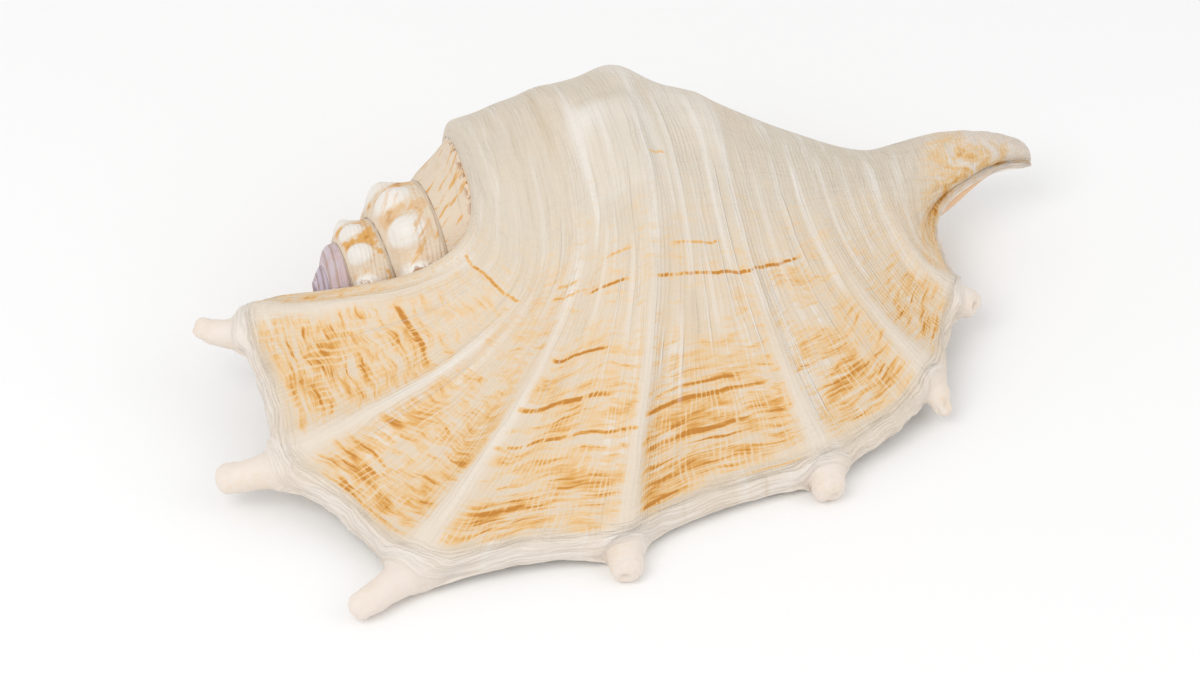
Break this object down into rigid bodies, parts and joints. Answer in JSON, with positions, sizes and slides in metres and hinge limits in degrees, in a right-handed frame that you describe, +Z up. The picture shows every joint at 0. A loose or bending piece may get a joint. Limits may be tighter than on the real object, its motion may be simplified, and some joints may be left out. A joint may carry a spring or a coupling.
{
  "type": "spider conch shell",
  "caption": "Spider conch seashell with a flared, ribbed wing ending in blunt finger-like digits, a knobbed spire and a pointed siphonal canal.",
  "frame": {"origin": "middle of the bounding box on the plane the shell lies on", "axes": "+X along the coiling axis from the spire to the siphonal canal, -Y towards the flared outer lip, +Z up from the aperture to the knobbed back"},
  "size_m": [0.2989, 0.1808, 0.0846],
  "materials": {
    "shell": "smooth porcelain-like calcium carbonate, cream with orange-brown growth streaks"
  },
  "bodies": {
    "root": {"shell": "shell"}
  },
  "joints": []
}
